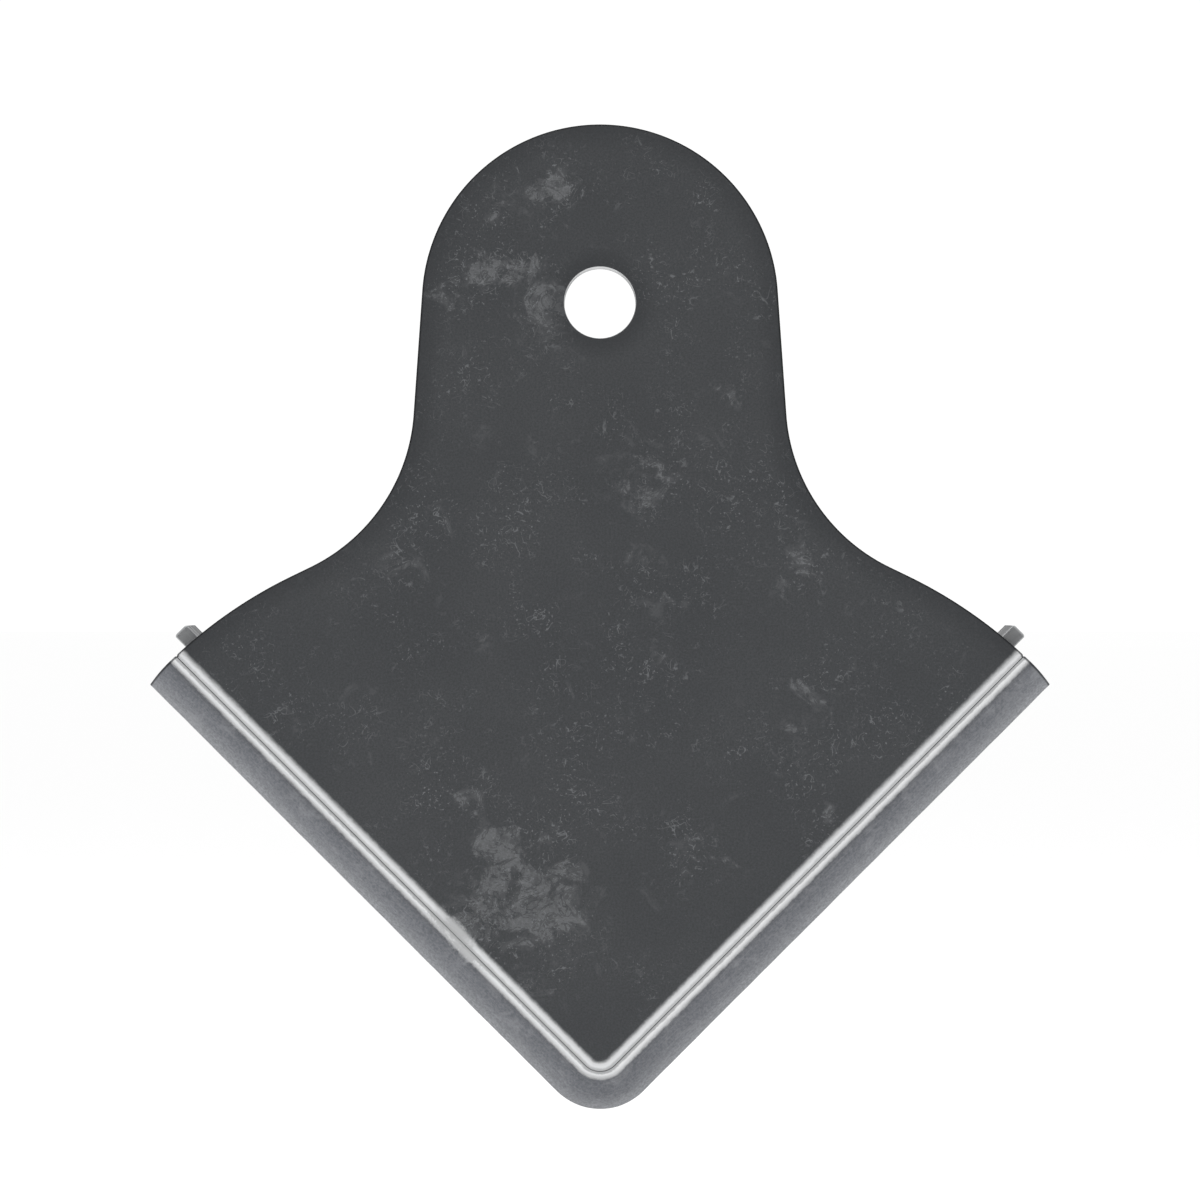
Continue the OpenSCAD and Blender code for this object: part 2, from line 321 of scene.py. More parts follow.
def fit_piece(piece, material, body, slot, *nodes):
    """Gives a piece its finish and its body, and lets it stand for its CAD nodes."""
    piece.data.materials.append(material)
    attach(piece, body)
    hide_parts(*nodes)


def distance_to(points, path):
    """Distance from each point to the nearest point of a finely spaced path."""
    near = np.full(len(points), np.inf)
    for chunk in np.array_split(path, 40):
        near = np.minimum(near, np.linalg.norm(points[:, None] - chunk[None], axis=-1).min(1))
    return near


# Where the paint is scuffed: each row is x, z, half-length, half-height and strength
SCUFFS = np.array([
    [-29, -219, 24, 21, 1.0], [-47, -228, 20, 12, 0.9], [-37, -197, 20, 9, 0.7],
    [-44, -180, 12, 7, 0.4], [-12, -238, 12, 9, 0.5], [-34, 12, 22, 7, 1.0], [-20, 1, 10, 10, 1.7],
    [-52, 3, 12, 8, 0.5], [-16, 42, 9, 10, 0.7], [-43, 32, 12, 9, 0.35], [74, -98, 8, 14, 0.6],
    [17, -65, 14, 16, 0.5], [-72, -95, 13, 9, 0.6], [-60, -78, 9, 8, 0.4], [34, -200, 9, 13, 0.6],
    [74, -158, 17, 18, 0.5], [-110, -153, 12, 7, 0.5], [83, -187, 4, 4, 0.9], [88, -196, 10, 6, 0.5],
    [45, -32, 9, 7, 0.4], [-60, -128, 12, 10, 0.35], [28, -102, 14, 12, 0.35],
])
REAR_SCUFF = 0.7
SMEAR_V, SMEAR_HALF_L = 91.0, 17.0
SMEAR_U, SMEAR_HALF_W = 15.5, 4.2
DENTS = np.array([
    [-30, -221, 30, 0.10], [48, -150, 40, 0.07], [-20, -60, 34, 0.06], [-26, 6, 14, 0.06],
    [83, -187, 4, 0.12], [20, -70, 12, 0.05],
])

# The hooks' feet behind the plate, which the heat of their welds has marked
HOOK_W = 16.0
HOOK_LEG = 13.5
HOOK_FIRST = 56.0
HOOK_PITCH = 38.5
SLOT_LO = 18.5
SLOT_HI = 25.1
HEAT_REACH = 9.0


def hook_foot(number, low_u, high_u):
    """The ground one hook stands on, as [low u, high u, low v, high v]."""
    middle_v = HOOK_FIRST + number * HOOK_PITCH
    return [low_u, high_u, middle_v - HOOK_W / 2, middle_v + HOOK_W / 2]


PLATE_FEET = [hook_foot(number, SLOT_HI, SLOT_HI + HOOK_LEG) for number in (0, 2, 4)]

near_edge = NEAR_W * np.linspace(0.0, 1.0, 19) ** 1.5
front_middle = np.linspace(0.0, 1.0, 36)[1:]
rear_steps = np.linspace(0.0, 1.0, 58)
roll_turn = np.radians(np.linspace(0, 90, 6))
wall_steps = np.linspace(0, 1, 6)[1:-1]

inset_points, outline_out = plate_side(ARRIS)
outline_points = inset_points + ARRIS * outline_out
rim_r = BOLT_HOLE_R + BORE_ARRIS
inner_x = np.sqrt(np.clip(rim_r ** 2 - inset_points[:, 1] ** 2, 0, None))
row_w = inset_points[:, 0] - inner_x
near_scale = np.minimum(1.0, row_w / (2.2 * near_edge[-1]))[:, None]
offsets = np.concatenate([
    near_edge * near_scale,
    near_edge[-1] * near_scale + (row_w[:, None] - near_edge[-1] * near_scale) * front_middle
], 1)
front_x = (inset_points[:, :1] - offsets)[:, ::-1]
front_z = np.repeat(inset_points[:, 1:], front_x.shape[1], 1)
rear_x = inset_points[:, :1] - row_w[:, None] * rear_steps
rear_z = np.repeat(inset_points[:, 1:], len(rear_steps), 1)

arris_in = ARRIS * (1 - np.sin(roll_turn[1:]))
arris_down = ARRIS * (1 - np.cos(roll_turn[1:]))
wall_in = np.concatenate([arris_in, 0 * wall_steps, arris_in[::-1]])


def front_y(x, z, rim_gap):
    """Depth of the front face: flat, then rolling down as a parabola over the last few
    millimetres before the seam and before the rest of the outline, with a few shallow dents."""
    seam_share = np.clip(1 - (uv_at(x, z)[0] - SEAM_U) / SEAM_ROLL_W, 0, 1)
    rim_share = np.clip(1 - rim_gap / RIM_ROLL_W, 0, 1)
    dents = sum(
        depth * np.exp(-((x - cx) ** 2 + (z - cz) ** 2) / wide ** 2) for cx, cz, wide, depth in DENTS
    )
    return -PLATE_T + SEAM_ROLL_T * seam_share ** 2 + RIM_ROLL_T * rim_share ** 2 + dents


rim_path = outline_points[POINT_STEPS + SEAM_STEPS + CORNER_STEPS // 2:]
front_gap = distance_to(np.stack([front_x.ravel(), front_z.ravel()], -1), rim_path).reshape(front_x.shape)
front_depth = front_y(front_x, front_z, front_gap)
rim_y = front_depth[:, -1:]
wall_y = np.concatenate([
    rim_y + arris_down, rim_y + ARRIS - (rim_y + 2 * ARRIS) * wall_steps,
    np.repeat(-arris_down[::-1][None], len(rim_y), 0)
], 1)
wall_x = outline_points[:, :1] - wall_in * outline_out[:, :1]
wall_z = outline_points[:, 1:] - wall_in * outline_out[:, 1:]
half_x = np.concatenate([front_x, wall_x, rear_x], 1)
half_y = np.concatenate([front_depth, wall_y, 0 * rear_x], 1)
half_z = np.concatenate([front_z, wall_z, rear_z], 1)
half = np.stack([half_x, half_y, half_z], -1)


def heat_at(x, z, feet):
    """Share of weld heat at each place: it falls off smoothly with distance from each foot."""
    u, v = uv_at(x, z)
    heat = 0 * x
    for low_u, high_u, low_v, high_v in feet:
        gap_u = np.maximum(np.maximum(low_u - u, u - high_u), 0)
        gap_v = np.maximum(np.maximum(low_v - v, v - high_v), 0)
        heat = np.maximum(heat, np.exp(-(gap_u ** 2 + gap_v ** 2) / HEAT_REACH ** 2))
    return heat


def scuff_at(x, z):
    """Share of scuffing at each place: the strongest of the soft oval patches there."""
    worn = 0 * x
    for cx, cz, wide, high, strength in SCUFFS:
        worn = np.maximum(worn, strength * np.exp(-((x - cx) / wide) ** 2 - ((z - cz) / high) ** 2))
    return worn


def smear_at(x, z):
    """Share of the clay smeared over the left seam: a soft oval along it, and across it."""
    u, v = uv_at(x, z)
    return (x < 0) * np.exp(-((v - SMEAR_V) / SMEAR_HALF_L) ** 4 - ((u - SMEAR_U) / SMEAR_HALF_W) ** 4)


beside_bore = np.abs(inset_points[:, 1]) <= rim_r * 1.0001
bore_rim = np.stack([inner_x[beside_bore], inset_points[beside_bore, 1]], -1)
bore_rim = np.concatenate([bore_rim, bore_rim[::-1] * [-1, 1]])
folded_rim = np.stack([np.abs(bore_rim[:, 0]), bore_rim[:, 1]], -1)
bore_depth = front_y(bore_rim[:, 0], bore_rim[:, 1], distance_to(folded_rim, rim_path))
bore_turn = np.radians(np.linspace(0, 90, 5))
bore_in = BORE_ARRIS * np.sin(bore_turn)
bore_down = BORE_ARRIS * (1 - np.cos(bore_turn))
bore_r = np.concatenate([rim_r - bore_in, rim_r - bore_in[::-1]])
bore_y = np.concatenate([
    bore_depth[:, None] + bore_down, np.repeat(-bore_down[::-1][None], len(bore_depth), 0)
], 1)
bore_dir = bore_rim / rim_r
bore = np.stack([bore_dir[:, :1] * bore_r, bore_y, bore_dir[:, 1:] * bore_r], -1)

grids = [half, half * [-1, 1, 1], bore]
counts = np.cumsum([0] + [grid.shape[0] * grid.shape[1] for grid in grids])
numbers = [
    np.arange(start, stop).reshape(grid.shape[:2])
    for grid, start, stop in zip(grids, counts[:-1], counts[1:])
]
plate_points = np.concatenate([grid.reshape(-1, 3) for grid in grids])
plate_faces = [
    skin_faces(numbers[0]), skin_faces(numbers[1])[:, ::-1], skin_faces(numbers[2], loop=True)
]
px, py, pz = plate_points.T
folded = np.stack([np.abs(px), pz], -1)
run_along = np.concatenate([[0], np.cumsum(np.linalg.norm(np.diff(outline_points, axis=0), axis=1))])
run_half = np.repeat(run_along[:, None], half.shape[1], 1).ravel()
plate = make_piece("tooth_plate_steel", plate_points, plate_faces, {
    "inward": uv_at(px, pz)[0],
    "rim_gap": distance_to(folded, rim_path),
    "bore_gap": np.hypot(px, pz) - BOLT_HOLE_R,
    "scuff": np.where(py < -PLATE_T / 2, scuff_at(px, pz), REAR_SCUFF * scuff_at(-0.9 * px, -150 - pz)),
    "smear": smear_at(px, pz),
    "heat": heat_at(px, pz, PLATE_FEET) * (py > -PLATE_T / 4),
    "run": np.concatenate([run_half, run_half, 0 * bore[..., 0].ravel()]),
})


def place_in_mm(material):
    """The place on the piece in millimetres."""
    place = node(material.node_tree, "TexCoord").outputs["Object"]
    return vector_step("SCALE", place, {"Scale": 1 / MM})


def value_of(material, label):
    """A value kept on the mesh's own points."""
    return node(material.node_tree, "Attribute", attribute_name=label).outputs["Fac"]


def vector_step(kind, place, inputs):
    """One arithmetic step on a place."""
    return node(place.id_data, "VectorMath", {0: place, **inputs}, operation=kind).outputs["Vector"]


def front_share(place):
    """1 on the front face, 0 on the rear face and on the rear half of the walls."""
    depth = node(place.id_data, "SeparateXYZ", {"Vector": place}).outputs["Y"]
    return fade(depth, -9.0, -7.0, 1.0, 0.0)


def noise(place, size, detail=3.0, rough=0.55, warp=0.0):
    """Cloudy noise whose lumps are about size millimetres across."""
    return node(place.id_data, "TexNoise", {
        "Vector": place, "Scale": 1.0 / size, "Detail": detail, "Roughness": rough, "Distortion": warp
    }).outputs["Fac"]


def fade(value, start, stop, low=0.0, high=1.0):
    """Goes smoothly from low to high as value goes from start to stop."""
    return node(value.id_data, "MapRange", {
        "Value": value, "From Min": start, "From Max": stop, "To Min": low, "To Max": high
    }, interpolation_type="SMOOTHSTEP").outputs["Result"]


def arithmetic(kind):
    """A function that takes one arithmetic step on two values, of which one is a socket."""
    def step(first, second=0.0):
        tree = (first if isinstance(first, bpy.types.NodeSocket) else second).id_data
        return node(tree, "Math", {0: first, 1: second}, operation=kind).outputs["Value"]
    return step


plus, minus, times = arithmetic("ADD"), arithmetic("SUBTRACT"), arithmetic("MULTIPLY")
larger, magnitude = arithmetic("MAXIMUM"), arithmetic("ABSOLUTE")


def mix(share, first, second):
    """First colour going over to the second by share."""
    return node(share.id_data, "Mix", {0: share, 6: first, 7: second}, data_type="RGBA",
                clamp_factor=True).outputs[2]


def grey(level, warmth=0.0):
    """A linear grey, cool below 0 and warm above."""
    return (level * (1 + warmth), level, level * (1 - warmth), 1.0)


def hairs(place, size, width, shift):
    """Thin curved lines: wherever a smooth, slightly swirled noise crosses its middle value."""
    level = noise(vector_step("ADD", place, {1: (shift, 0.0, -shift)}), size, 1.5, 0.45, 0.8)
    return fade(magnitude(minus(level, 0.5)), 0.0, width, 1.0, 0.0)


def ragged_at(inward, place):
    """Distance in from the cutting edge, wandering a little so that worn borders are ragged."""
    return plus(inward, fade(noise(place, 3.0, 4.0, 0.7), 0.3, 0.7, -0.16, 0.16))


def bumped(shader, height, depth_mm):
    """Raises the surface by height times depth_mm."""
    bump = node(height.id_data, "Bump", {"Height": height, "Strength": 1.0, "Distance": depth_mm * MM})
    feed(shader, {"Normal": bump.outputs["Normal"]})


PAINT_THIN = (0.057, 0.0602, 0.064, 1.0)
PAINT_FULL = (0.067, 0.0702, 0.074, 1.0)
# Dark paint for the grain speckle, also used as painted shade towards the outline, round the bolt hole and
# along the bar's ends
DARK_PAINT_AND_SHADE = (0.027, 0.029, 0.032, 1.0)
PAINTED_RIM_SHADE = (0.009, 0.010, 0.0115, 1.0)
PAINT_SCUFFED = (0.150, 0.154, 0.160, 1.0)
BRIGHT_STEEL = grey(0.70, -0.012)
DULL_STEEL = grey(0.46, -0.014)
CLAY_SMEAR = grey(0.45, -0.010)

paint, shader = new_material("scuffed_dark_paint")
place = place_in_mm(paint)
inward, rim_gap, bore_gap = (value_of(paint, label) for label in ("inward", "rim_gap", "bore_gap"))
scuff = value_of(paint, "scuff")
cloud = noise(place, 55.0, 4.0)
mottle = noise(place, 5.0, 7.0, 0.72)
grain = noise(place, 0.8, 3.0, 0.85)
colour = mix(fade(cloud, 0.3, 0.7), PAINT_THIN, PAINT_FULL)
colour = mix(fade(grain, 0.32, 0.68, 0.0, 0.55), colour, DARK_PAINT_AND_SHADE)
# Rubbed patches: torn-edged islands inside the scuffs, split by curved dark tears
torn = plus(noise(place, 15.0, 9.0, 0.64, 1.1), times(scuff, 0.30))
tears = magnitude(minus(noise(place, 11.0, 4.0, 0.62, 2.2), 0.5))
tears = fade(tears, 0.008, 0.034, 0.06, 1.0)
patches = times(fade(torn, 0.675, 0.712), tears)
patches = times(patches, fade(mottle, 0.40, 0.56, 0.30, 1.0))
patches = times(patches, fade(grain, 0.30, 0.62, 0.45, 1.0))
haze = times(fade(torn, 0.57, 0.70), fade(mottle, 0.44, 0.58))
patches = larger(patches, times(haze, 0.28))
colour = mix(times(patches, 0.90), colour, PAINT_SCUFFED)
# Fine hairs and flecks, thick in the scuffs and thin elsewhere, each broken into short pieces
where = plus(noise(place, 22.0, 4.0, 0.6), times(scuff, 0.26))
where = fade(where, 0.42, 0.66)
broken = fade(noise(place, 3.6, 3.0, 0.6), 0.50, 0.58)
fine = larger(hairs(place, 5.0, 0.016, 0.0), hairs(place, 8.5, 0.010, 40.0))
fine = larger(fine, hairs(place, 18.0, 0.004, 90.0))
flecks = fade(noise(place, 0.9, 2.0, 0.5), 0.64, 0.72)
fine = larger(times(fine, broken), flecks)
fine = times(fine, where)
colour = mix(times(fine, 0.70), colour, (0.185, 0.192, 0.200, 1.0))
# Painted shade: the paint is darkened towards the outline and round the bolt hole
colour = mix(fade(rim_gap, 0.0, 11.0, 0.50, 0.0), colour, DARK_PAINT_AND_SHADE)
colour = mix(fade(bore_gap, 0.0, 10.0, 0.55, 0.0), colour, DARK_PAINT_AND_SHADE)
# Blued and burnt off where the hooks are welded on behind
heat = plus(value_of(paint, "heat"), fade(mottle, 0.3, 0.7, -0.12, 0.12))
colour = mix(fade(heat, 0.25, 0.55), colour, (0.045, 0.038, 0.036, 1.0))
colour = mix(fade(heat, 0.60, 0.85), colour, (0.14, 0.13, 0.12, 1.0))
# Worn bright along the seam and dull in its valley, with clay smeared over it in one place
ragged = ragged_at(inward, place)
front = front_share(place)
bare = times(fade(ragged, 17.5, 19.1, 1.0, 0.0), front)
polished = times(fade(ragged, 15.4, 16.5), fade(ragged, 17.3, 18.5, 1.0, 0.0))
colour = mix(bare, colour, mix(polished, DULL_STEEL, BRIGHT_STEEL))
smear = plus(value_of(paint, "smear"), fade(torn, 0.62, 0.86, -0.55, 0.20))
smear = times(fade(smear, 0.20, 0.75), front)
clay = mix(fade(grain, 0.3, 0.7), PAINT_SCUFFED, CLAY_SMEAR)
clay = mix(bare, clay, CLAY_SMEAR)
colour = mix(times(smear, 0.88), colour, clay)
bare = times(bare, minus(1.0, smear))
# Painted shade: a near-black line along the cut outline, made rough and not metallic there; the drilled
# bore is bare
outline_shade = fade(rim_gap, 0.35, 1.0, 1.0, 0.0)
colour = mix(times(outline_shade, 0.85), colour, PAINTED_RIM_SHADE)
bored_steel = fade(bore_gap, 0.05, 0.25, 1.0, 0.0)
colour = mix(bored_steel, colour, grey(0.60, -0.01))
metal = times(bare, minus(1.0, outline_shade))
metal = larger(metal, bored_steel)
paint_rough = fade(mottle, 0.3, 0.7, 0.46, 0.62)
paint_rough = plus(paint_rough, times(patches, 0.12))
paint_rough = larger(paint_rough, times(outline_shade, 0.85))
rough = node(metal.id_data, "Mix", {0: metal, 2: paint_rough, 3: 0.36}, data_type="FLOAT").outputs[0]
feed(shader, {
    "Base Color": colour, "Metallic": metal, "Roughness": rough, "Specular IOR Level": 0.28
})
relief = plus(times(grain, 0.6), times(mottle, 1.2))
relief = minus(relief, times(larger(fine, patches), 0.6))
# Drag lines of the torch across the cut edge
depth = node(place.id_data, "SeparateXYZ", {"Vector": place}).outputs["Y"]
drag = node(place.id_data, "CombineXYZ", {
    "X": value_of(paint, "run"), "Y": times(depth, 0.06)
}).outputs["Vector"]
drag = times(noise(drag, 1.3, 3.0, 0.6), fade(rim_gap, 0.1, 0.3, 3.5, 0.0))
bumped(shader, plus(relief, drag), 0.06)
fit_piece(plate, paint, "tooth", "paint", "tooth_plate")


# Cutting edge. One bar of hardened steel bent into a V and ground to a convex bevel on its
# front; its inner front edge is rolled over and polished where soil slides across the seam.
EDGE_SEAM_U = 14.72
BEVEL_W = 11.8
LAND = 2.0
EDGE_END_ARRIS = 0.35
EDGE_ARRIS = 0.4
BEVEL_START = 58.0  # slope of the bevel at its sharp side, in degrees
BEVEL_EASE = 2.2
STRAIGHT_STEPS = 190
EDGE_FEET = [hook_foot(number, EDGE_SEAM_U - 9.0, EDGE_SEAM_U) for number in (1, 3)]


def beside(side, u, y, v):
    """Points from a side's own measures: side is -1 on the left and 1 on the right."""
    return np.stack(np.broadcast_arrays(
        side * (v - u) / math.sqrt(2), y, (u + v) / math.sqrt(2) - POINT_DROP
    ), -1)


def lofts(*grids):
    """Points and faces of closed skins over grids[station, place round the section, xyz],
    each closed at both ends by a fan to the middle of its last section."""
    points, faces, used = [], [], 0
    for grid in grids:
        stations, places = grid.shape[:2]
        index = used + np.arange(stations * places).reshape(stations, places)
        hub = used + stations * places
        points += [grid.reshape(-1, 3), grid[0].mean(0)[None], grid[-1].mean(0)[None]]
        first, last = index[0], index[-1]
        faces += [
            skin_faces(index, ring=True),
            np.stack([np.full(places, hub), np.roll(first, -1), first], -1),
            np.stack([np.full(places, hub + 1), last, np.roll(last, -1)], -1),
        ]
        used = hub + 2
    return np.concatenate(points), faces


def with_hubs(grid_values):
    """Values for one closed skin's points, with its two end middles."""
    return np.concatenate([grid_values.ravel(), [grid_values[0].mean(), grid_values[-1].mean()]])


# The section, once round: the sharp side, the bevel, the roll to the seam and the rear face
bevel_q = np.linspace(0, 1, 41)
bevel_slope = np.tan(np.radians(BEVEL_START * (1 - bevel_q ** BEVEL_EASE)))
bevel_fall = np.concatenate([[0], np.cumsum((bevel_slope[1:] + bevel_slope[:-1]) / 2)])
bevel_fall /= bevel_fall[-1]
roll_u = np.linspace(BEVEL_W, EDGE_SEAM_U, 18)[1:]
roll_q = (roll_u - BEVEL_W) / (EDGE_SEAM_U - BEVEL_W)
section_u = np.concatenate([
    np.zeros(4), BEVEL_W * bevel_q, roll_u, np.full(6, EDGE_SEAM_U),
    np.linspace(EDGE_SEAM_U - EDGE_ARRIS, EDGE_ARRIS, 14)
])
section_y = np.concatenate([
    span(-EDGE_ARRIS, -LAND, 4), -LAND - (PLATE_T - LAND) * bevel_fall,
    -PLATE_T + SEAM_ROLL_T * roll_q ** 1.5, np.linspace(SEAM_ROLL_T - PLATE_T, -EDGE_ARRIS, 7)[1:],
    np.zeros(14)
])
tangent = np.stack([
    np.roll(section_u, -1) - np.roll(section_u, 1), np.roll(section_y, -1) - np.roll(section_y, 1)
])
tangent /= np.linalg.norm(tangent, axis=0)
inwards = np.stack([-tangent[1], tangent[0]])
if (inwards[0] * (section_u - 7) + inwards[1] * (section_y + 6)).sum() > 0:
    inwards = -inwards

# Stations: down the left side, round the point and up the right side, both ends arrised
end_turn = np.radians(np.linspace(90, 0, 5))
share = np.concatenate([np.ones(5), np.linspace(1, 0, STRAIGHT_STEPS)[1:]])[:, None]
shrink = np.concatenate([EDGE_END_ARRIS * (1 - np.cos(end_turn)), np.zeros(STRAIGHT_STEPS - 1)])[:, None]
back = np.concatenate([EDGE_END_ARRIS * (1 - np.sin(end_turn)), np.zeros(STRAIGHT_STEPS - 1)])[:, None]
side_u = section_u + shrink * inwards[0]
side_y = section_y + shrink * inwards[1]
side_v = POINT_R + share * (shoulder_v(section_u) - POINT_R) - back
point_turn = np.radians(np.linspace(0, 90, 45))[1:-1, None]
arc_r = POINT_R - section_u
side_run = side_v - POINT_R + POINT_R * math.pi / 4
arc_run = POINT_R * (math.pi / 4 - point_turn) + 0 * arc_r


def worn_off(run):
    """How far the sharp side has worn back: a little everywhere, wandering along the edge."""
    wander = np.sin(run / 5.3) + np.sin(run / 2.1 + 1.3) + np.sin(run / 13.7)
    return np.clip(1 - section_u / 5.0, 0, 1) * (0.06 + 0.02 * wander)


arc_r = arc_r - worn_off(arc_run)
left_u, right_u = side_u + worn_off(side_run), side_u + worn_off(-side_run)
arc_u = POINT_R - arc_r * np.cos(point_turn)
end_gap = shoulder_v(section_u) - side_v + shrink
edge_u = np.concatenate([left_u, arc_u, side_v[::-1]])
edge_v = np.concatenate([side_v, POINT_R - arc_r * np.sin(point_turn), right_u[::-1]])
edge_y = np.concatenate([side_y, np.repeat(section_y[None], len(point_turn), 0), side_y[::-1]])
edge_run = np.concatenate([side_run, arc_run, -side_run[::-1]])
edge_grid = beside(-1, edge_u, edge_y, edge_v)
on_rear = edge_grid[..., 1] > -EDGE_ARRIS / 2
edge = make_piece("cutting_edge_steel", *lofts(edge_grid), {
    "inward": with_hubs(np.repeat(section_u[None], len(edge_grid), 0)),
    "run": with_hubs(edge_run),
    "heat": with_hubs(heat_at(edge_grid[..., 0], edge_grid[..., 2], EDGE_FEET) * on_rear),
    "smear": with_hubs(smear_at(edge_grid[..., 0], edge_grid[..., 2])),
    "end_gap": with_hubs(np.concatenate([end_gap, np.full_like(arc_u, 50.0), end_gap[::-1]])),
})

ground, shader = new_material("ground_bright_steel")
place = place_in_mm(ground)
inward, run = value_of(ground, "inward"), value_of(ground, "run")
mottle = noise(place, 9.0, 6.0, 0.7, 0.6)
grain = noise(place, 1.0, 3.0, 0.8)
drawn = node(place.id_data, "CombineXYZ", {"X": inward, "Y": times(run, 0.03)}).outputs["Vector"]
lines = noise(drawn, 0.5, 3.0, 0.7)
# Painted shading: the bevel is lighter at its sharp side and darker towards the seam, as if it turned from
# the light; the mottle makes the border wander
bevel_shading_in = plus(inward, fade(mottle, 0.3, 0.7, -0.9, 0.9))
colour = mix(fade(bevel_shading_in, -0.5, 5.5), (0.305, 0.312, 0.328, 1.0), (0.205, 0.212, 0.228, 1.0))
colour = mix(fade(bevel_shading_in, 4.5, 9.0), colour, (0.178, 0.184, 0.200, 1.0))
colour = mix(fade(grain, 0.32, 0.68, 0.0, 0.48), colour, (0.060, 0.064, 0.072, 1.0))
colour = mix(fade(mottle, 0.46, 0.68, 0.0, 0.24), colour, (0.40, 0.405, 0.42, 1.0))
colour = mix(fade(lines, 0.45, 0.75, 0.0, 0.12), colour, grey(0.50, -0.02))
ragged = ragged_at(inward, place)
polished = times(fade(ragged, 11.4, 12.5), fade(ragged, 13.5, 14.6, 1.0, 0.0))
front = front_share(place)
polished = times(polished, front)
colour = mix(polished, colour, grey(0.92, -0.008))
colour = mix(fade(ragged, 13.6, 14.5), colour, grey(0.50, -0.014))
# Painted shade: a dark outline along the bar's sawn ends
outline_shade = fade(value_of(ground, "end_gap"), 0.45, 1.1, 0.85, 0.0)
colour = mix(outline_shade, colour, DARK_PAINT_AND_SHADE)
smear = plus(value_of(ground, "smear"), fade(mottle, 0.35, 0.65, -0.45, 0.25))
smear = times(fade(smear, 0.20, 0.85, 0.0, 0.85), front)
colour = mix(smear, colour, CLAY_SMEAR)
heat = plus(value_of(ground, "heat"), fade(mottle, 0.3, 0.7, -0.10, 0.10))
colour = mix(fade(heat, 0.20, 0.45), colour, (0.22, 0.17, 0.11, 1.0))
colour = mix(fade(heat, 0.45, 0.80), colour, (0.09, 0.10, 0.15, 1.0))
rough = minus(fade(mottle, 0.3, 0.7, 0.40, 0.50), times(polished, 0.10))
feed(shader, {"Base Color": colour, "Metallic": minus(1.0, smear), "Roughness": rough})
bumped(shader, plus(times(lines, 0.6), grain), 0.02)
fit_piece(edge, ground, "tooth", "ground_steel", "cutting_edge")


# Keys. Cold-drawn flat bar standing on edge behind the seam, sawn and filed at both ends, and
# driven in along the V from each shoulder.
SIDES = ((-1, "left"), (1, "right"))
KEY_U = 18.8
KEY_T = 6.0
KEY_W = 30.0
KEY_PLAY = 0.3
KEY_LOW = 36.3
KEY_PROUD = 6.5
KEY_HIGH = shoulder_v(KEY_U + KEY_T / 2) + KEY_PROUD
KEY_CHAMFER = 0.6
KEY_ARRIS = 0.5


def section_plan(corner_steps, side_steps):
    """Once round a rounded rectangle: for each place, the share of the corner's middle it
    follows and the direction in which the corner's radius is added."""
    signs = np.array([[1, 1], [-1, 1], [-1, -1], [1, -1], [1, 1]], float)
    middles, directions = [], []
    for quarter in range(4):
        middles.append(np.tile(signs[quarter], (corner_steps, 1)))
        directions.append(facing(np.linspace(90 * quarter, 90 * quarter + 90, corner_steps)))
        middles.append(signs[quarter] + np.outer(side_steps, signs[quarter + 1] - signs[quarter]))
        directions.append(np.tile(facing(90.0 * (quarter + 1)), (len(side_steps), 1)))
    return np.concatenate(middles), np.concatenate(directions)


def rounded(plan, half_a, half_b, radius):
    """Rounded rectangles, one for each station, given by half their width and height."""
    middles, directions = plan
    halves = np.stack(np.broadcast_arrays(half_a, half_b), -1)[..., None, :]
    radius = np.expand_dims(radius, (-1, -2))
    return middles * (halves - radius) + directions * radius


plan = section_plan(5, np.array([0.02, 0.2, 0.4, 0.6, 0.8, 0.98]))
key_v = np.concatenate([
    [KEY_LOW, KEY_LOW + 0.15, KEY_LOW + KEY_CHAMFER, KEY_LOW + KEY_CHAMFER + 0.3],
    np.linspace(KEY_LOW + 4, KEY_HIGH - 4, 90),
    [KEY_HIGH - KEY_CHAMFER - 0.3, KEY_HIGH - KEY_CHAMFER, KEY_HIGH - 0.15, KEY_HIGH]
])
key_off = np.interp(key_v, [KEY_LOW, KEY_LOW + 0.15, KEY_LOW + KEY_CHAMFER, KEY_HIGH - KEY_CHAMFER,
                            KEY_HIGH - 0.15, KEY_HIGH], [KEY_CHAMFER + 0.15, KEY_CHAMFER - 0.15, 0, 0,
                                                        KEY_CHAMFER - 0.15, KEY_CHAMFER + 0.15])
key_section = rounded(plan, KEY_T / 2 - key_off, KEY_W / 2 - 0.4 * key_off, KEY_ARRIS + 0 * key_v)
key_u = KEY_U + KEY_T / 2 + key_section[..., 0]
key_y = KEY_PLAY + KEY_W / 2 + key_section[..., 1]

bar, shader = new_material("cold_drawn_bar")
place = place_in_mm(bar)
along = node(place.id_data, "VectorRotate", {
    "Vector": place, "Axis": (0.0, 1.0, 0.0), "Angle": value_of(bar, "turn")
}, rotation_type="AXIS_ANGLE").outputs["Vector"]
stretched = vector_step("MULTIPLY", along, {1: (1.0, 1.0, 0.02)})
lines = noise(stretched, 0.7, 3.0, 0.7)
mottle = noise(place, 12.0, 5.0, 0.7)
colour = mix(fade(mottle, 0.3, 0.7), grey(0.33, -0.02), grey(0.43, -0.02))
colour = mix(fade(lines, 0.40, 0.75, 0.0, 0.35), colour, grey(0.34))
rubbed = noise(stretched, 2.4, 4.0, 0.6)
colour = mix(fade(rubbed, 0.58, 0.66, 0.0, 0.6), colour, grey(0.75))
feed(shader, {"Base Color": colour, "Metallic": 1.0, "Roughness": fade(lines, 0.3, 0.8, 0.32, 0.48)})
bumped(shader, lines, 0.02)

for side, name in SIDES:
    grid = beside(side, key_u, key_y, key_v[:, None])
    points, faces = lofts(grid)
    key = make_piece(name + "_key_bar", points, faces, {"turn": np.full(len(points), -side * math.pi / 4)})
    fit_piece(key, bar, name + "_key", "bar_steel", name + "_key")


